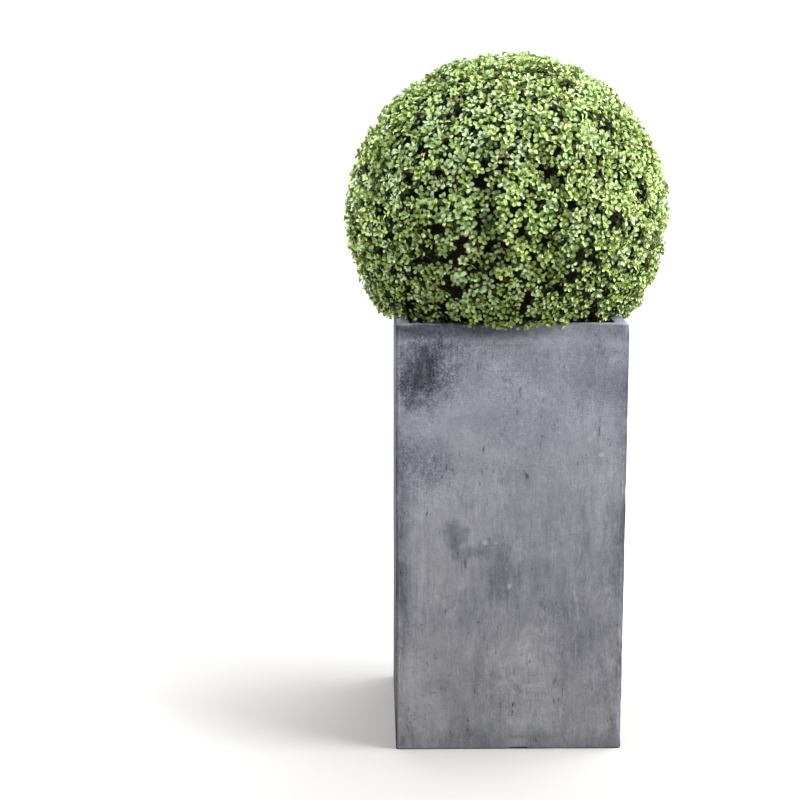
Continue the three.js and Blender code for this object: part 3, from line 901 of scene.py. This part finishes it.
class Stone(Nodes):
    """The planter's finish, with painted light and shade: one tone from dark to light, which a tint turns
    into the stone's colour.
    """

    def __init__(self, tree):
        super().__init__(tree)
        places = {name: self.shifted(self.place, scale, reach) for name, (scale, reach) in MOVED.items()}
        self.places = places | {"still": self.place}
        self.fields = fields = {}
        for name, scale, detail, rough, place, *drawn in STONE_FIELDS:
            where = self.stretched(*drawn, self.places[place]) if drawn else self.places[place]
            fields[name] = self.noise(scale, detail, rough, where)
        self.ragged = self.math("MULTIPLY", fields["ragged"], 0.5)
        self.ragged = self.math("MULTIPLY_ADD", fields["drawn"], 0.5, self.ragged)
        self.holes = self.span(fields["holes"], *HOLES_SPAN)
        self.height = self.add("ShaderNodeSeparateXYZ", {0: self.place}).outputs["Z"]
        self.upper = self.span(self.height, *UPPER_HEIGHTS)

        corner = self.add("ShaderNodeSeparateXYZ", {0: self.vector("ABSOLUTE", self.place)}).outputs
        self.from_side = self.math("SUBTRACT", HALF_WIDTH, self.math("MINIMUM", corner["X"], corner["Y"]))
        self.from_top = self.math("SUBTRACT", RIM_TOP, self.height)
        facing = self.add("ShaderNodeSeparateXYZ", {0: self.facing}).outputs
        self.followed = fields | {
            "top": self.around(self.from_top, self.ragged, TOP_RAGGED),
            "foot": self.around(self.height, fields["streaks"], FOOT_RAGGED),
            "side": self.from_side,
            "up": facing["Z"],
            "across": facing["X"],
        }

    def shade(self, level, share, change):
        """The tone, darker (-) or lighter by so many levels where the share is 1."""
        return self.math("MULTIPLY_ADD", share, change / 255, level)

    def changed(self, level, changes):
        """The tone with changes, each as far as what it follows has come along its span."""
        for change, (value, *span), *more in changes:
            share = self.span(self.followed[value], *span)
            for value, *span in more:
                share = self.math("MULTIPLY", share, self.span(self.followed[value], *span))
            level = self.shade(level, share, change)
        return level

    def face_spot(self, face, across, height, half_width, half_height, place):
        """1 in the middle of an elliptical spot on a face, falling to 0 at its edge. In millimetres."""
        turn = face * math.pi / 2
        cos, sin = math.cos(turn), math.sin(turn)
        x, y = across / 1000, -HALF_WIDTH
        centre = (x * cos - y * sin, x * sin + y * cos, height / 1000)
        wide, high = half_width / 1000, half_height / 1000
        radii = (wide, MARK_DEPTH, high) if face % 2 == 0 else (MARK_DEPTH, wide, high)
        start = tuple(-c / r for c, r in zip(centre, radii))
        moved = self.stretched(tuple(1 / r for r in radii), start, self.places[place])
        fall = self.add("ShaderNodeTexGradient", {"Vector": moved}, gradient_type="SPHERICAL")
        return self.span(fall.outputs["Fac"], 0, 1)

    def grained(self):
        """The tone of the bare stone."""
        level = self.span(self.height, *STONE_HEIGHTS, STONE_LOW / 255, STONE_HIGH / 255, smooth=False)
        level = self.around(level, self.fields["clouds"], CLOUDS)
        level = self.around(level, self.fields["patches"], PATCHES)
        smooth = self.span(self.fields["smooth"], *SMOOTH_SPAN)
        for name, lower, upper, weaker in FINE_FIELDS:
            strength = self.span(self.upper, 0, 1, lower, upper)
            if weaker:
                strength = self.math("MULTIPLY", smooth, strength)
            level = self.around(level, self.fields[name], strength)
        return level

    def speckled(self, level, rng):
        rough = LEAST_ROUGH
        for *spot, strength in FRONT_ROUGH:
            rough = self.math("MULTIPLY_ADD", self.face_spot(0, *spot, "held"), strength, rough)
        for face in OTHER_FACES:
            spot = [rng.uniform(*limits) for limits in CHANCE_ROUGH]
            rough = self.math("ADD", rough, self.face_spot(face, *spot, "held"))
        rough = self.math("MAXIMUM", rough, LEAST_ROUGH)
        return self.around(level, self.fields["speckle"], self.math("MULTIPLY", rough, SPECKLE))

    def with_marks(self, level, marks, face):
        """Darker and lighter marks on one face, the larger ones with speckled edges."""
        for *spot, change in marks:
            small = min(spot[2:]) < SMALL_MARK
            share = self.face_spot(face, *spot, "near" if small else "held")
            if not small:
                share = self.span(self.around(share, self.ragged, MARK_RAGGED), *MARK_SPAN)
            level = self.shade(level, share, change)
        return level

    def with_arcs(self, level):
        for *spot, change in FRONT_ARCS:
            share = self.face_spot(0, *spot, "near")
            inside, outside = self.span(share, ARC_FROM, ARC_MIDDLE), self.span(share, ARC_TO, ARC_MIDDLE)
            line = self.math("MULTIPLY", inside, outside)
            line = self.math("MULTIPLY", line, self.span(self.fields["drawn"], *ARC_BREAKS))
            level = self.shade(level, line, change)
        return level

    def edged(self, level):
        from_edge = self.math("MINIMUM", self.from_side, self.math("MINIMUM", self.from_top, self.height))
        from_edge = self.around(from_edge, self.fields["clouds"], EDGE_CLOUDS)
        from_edge = self.around(from_edge, self.fields["mottle"], EDGE_MOTTLE)
        change = self.span(self.upper, 0, 1, EDGE_DARK_LOW / 255, EDGE_DARK_HIGH / 255)
        level = self.math("MULTIPLY_ADD", self.span(from_edge, *EDGE_DARK_SPAN), change, level)
        level = self.shade(level, self.holes, HOLES_CHANGE)
        level = self.math("MAXIMUM", self.changed(level, EDGE_CHANGES), DARKEST)
        # Painted light on upward faces, and painted shade on the left and right faces
        return self.changed(level, PAINTED_FACING_LIGHT)

    def coloured(self, level):
        tint = self.blend(self.upper, LOWER_TINT, UPPER_TINT)
        dark = self.math("MULTIPLY", self.span(level, *DARK_SPAN), self.span(self.height, *DARK_HEIGHTS))
        tint = self.blend(dark, tint, DARK_TINT)
        colour = self.add("ShaderNodeVectorMath", {0: tint, "Scale": level}, operation="SCALE").outputs[0]
        return self.add("ShaderNodeGamma", {"Color": colour, "Gamma": SCREEN_GAMMA}).outputs[0]

    def relief(self):
        height = self.span(self.fields["pits"], *PITS_SPAN)
        height = self.math("MULTIPLY_ADD", self.fields["grooves"], GROOVE_RELIEF, height)
        height = self.math("MULTIPLY_ADD", self.fields["mottle"], MOTTLE_RELIEF, height)
        height = self.math("MULTIPLY_ADD", self.holes, HOLE_RELIEF, height)
        return self.bump(height, *STONE_BUMP)


def chance_marks(rng):
    """Marks for a face that doesn't show, like those that do."""
    marks = []
    for count, sizes, changes in CHANCE_MARKS:
        for _ in range(count):
            size = rng.uniform(*sizes)
            change = rng.choice(changes) if size < SMALL_MARK else rng.uniform(*changes)
            across, height = rng.uniform(*CHANCE_ACROSS), rng.uniform(*CHANCE_HEIGHTS)
            marks.append((across, height, size, size * rng.uniform(*CHANCE_TALLNESS), change))
    return marks


def planter_material():
    rng = np.random.default_rng(STONE_SEED)
    material, shader = new_material("planter_stone", 0.66, specular=0.3)
    stone = Stone(material.node_tree)
    level = stone.speckled(stone.grained(), rng)
    level = stone.with_arcs(stone.with_marks(level, FRONT_MARKS, 0))
    for face in OTHER_FACES:
        level = stone.with_marks(level, chance_marks(rng), face)
    stone.plug(stone.coloured(stone.edged(level)), shader.inputs["Base Color"])
    stone.plug(stone.relief(), shader.inputs["Normal"])
    return material


def add_fill():
    """Dark potting compost: a low mound with crumbs, on straight sides."""
    steps = np.linspace(-1, 1, FILL_POINTS)
    half = fill_high.x
    edge = fill_high.z - FILL_MOUND
    vertices = []
    for v in steps:
        for u in steps:
            mound = FILL_MOUND * math.cos(u * math.pi / 2) * math.cos(v * math.pi / 2)
            crumbs = 0
            for fine, start, strength in CRUMB_NOISE:
                crumbs += strength * abs(noise.noise(Vector((u * fine, v * fine, start))))
            hollow = CRUMB_DEPTH * (1 - min(crumbs * CRUMB_GAIN, 1))
            vertices.append((u * half, v * half, edge + mound - hollow))
    row = FILL_POINTS
    grid = np.arange(row * row).reshape(row, row)
    faces = [(a, a + 1, a + row + 1, a + row) for a in grid[:-1, :-1].ravel().tolist()]
    border = np.concatenate([grid[0], grid[1:, -1], grid[-1, -2::-1], grid[-2:0:-1, 0]]).tolist()
    base = len(vertices)
    vertices += [(vertices[b][0], vertices[b][1], fill_low.z) for b in border]
    count = len(border)
    for k in range(count):
        after = (k + 1) % count
        faces.append((border[k], base + k, base + after, border[after]))
    faces.append(tuple(range(base + count - 1, base - 1, -1)))
    material, shader = new_material("compost", 0.95, specular=0.2)
    nodes = Nodes(material.node_tree)
    stops = [(0.3, (18, 14, 10)), (0.55, (44, 34, 25)), (0.72, (78, 62, 46))]
    nodes.plug(nodes.ramp(nodes.noise(120, 4, 0.7), stops), shader.inputs["Base Color"])
    nodes.plug(nodes.bump(nodes.noise(420, 3, 0.7), 0.8, 0.002), shader.inputs["Normal"])
    add_shape("compost", vertices, faces, material, "potting_fill", SOFT_SHARP)


def add_stem():
    """The short stem, flared at its foot, with ridged bark."""
    rows, columns = 16, 48
    rise = stem_high.z - stem_low.z
    vertices = []
    for row in range(rows + 1):
        share = row / rows
        radius = STEM_TOP + (STEM_FOOT - STEM_TOP) * (1 - share) ** 2
        for column in range(columns):
            turn = TAU * column / columns
            c, s = math.cos(turn), math.sin(turn)
            bark = STEM_RIDGES
            for around, up, start, narrow, depth in BARK_FURROWS:
                furrow = abs(noise.noise(Vector((c * around, s * around, share * up + start))))
                bark -= depth * (1 - min(furrow * narrow, 1))
            vertices.append((radius * bark * c, radius * bark * s, stem_low.z + share * rise))
    faces = ring_faces(rows, columns)
    faces.append(tuple(range(columns - 1, -1, -1)))
    faces.append(tuple(range(rows * columns, (rows + 1) * columns)))
    material, shader = new_material("stem_bark", 0.9, specular=0.2)
    nodes = Nodes(material.node_tree)
    along = nodes.noise(1, 4, 0.65, nodes.stretched((170, 170, 45)))
    stops = [(0.3, (46, 36, 27)), (0.52, (92, 76, 58)), (0.72, (134, 118, 96))]
    nodes.plug(nodes.ramp(along, stops), shader.inputs["Base Color"])
    nodes.plug(nodes.bump(along, 0.7, 0.002), shader.inputs["Normal"])
    add_shape("stem_bark", vertices, faces, material, "stem", SOFT_SHARP)


# The stage and the light

def add_stage():
    """A pale round floor just below what stands on it, which curves up into a wall all round."""
    inner, flat, bend, high, gap = 2.0, 5.0, 2.0, 7.0, 0.0004
    steps, sides = 12, 96
    profile = [(inner, 0.0)]
    for a in np.linspace(0, math.pi / 2, steps + 1):
        profile.append((flat + bend * math.sin(a), bend - bend * math.cos(a)))
    profile.append((flat + bend, high))
    vertices = [(0, 0, -gap)]
    for radius, z in profile:
        for side in range(sides):
            turn = TAU * side / sides
            vertices.append((radius * math.cos(turn), radius * math.sin(turn), z - gap))
    faces = [(0, 1 + side, 1 + (side + 1) % sides) for side in range(sides)]
    faces += [(a, d, c, b) for a, b, c, d in ring_faces(len(profile) - 1, sides, 1)]
    mesh = bpy.data.meshes.new("studio_floor")
    mesh.from_pydata(vertices, [], faces)
    smooth_faces(mesh)
    mesh.materials.append(plain_material("studio_floor", 0.9, FLOOR_COLOUR, specular=0.1))
    new_object("studio_floor", mesh)


def add_light(name, place, target, size, power, colour=WHITE, spread=180):
    data = bpy.data.lights.new(name, "AREA")
    data.spread = math.radians(spread)
    data.shape = "RECTANGLE"
    data.size, data.size_y = size
    data.energy = power
    data.color = colour
    light = new_object(name, data)
    light.location = place
    light.rotation_euler = (Vector(target) - Vector(place)).to_track_quat("-Z", "Y").to_euler()


def add_lights():
    for light in LIGHTS:
        add_light(*light)
    world = bpy.data.worlds.new("studio")
    world.use_nodes = True
    background = world.node_tree.nodes["Background"]
    background.inputs["Color"].default_value = (*WORLD_COLOUR, 1)
    background.inputs["Strength"].default_value = WORLD_STRENGTH
    bpy.context.scene.world = world
    bpy.context.scene.view_settings.view_transform = "Standard"


add_camera()
add_planter()
add_fill()
add_stem()
add_core()
add_foliage()
add_stage()
add_lights()
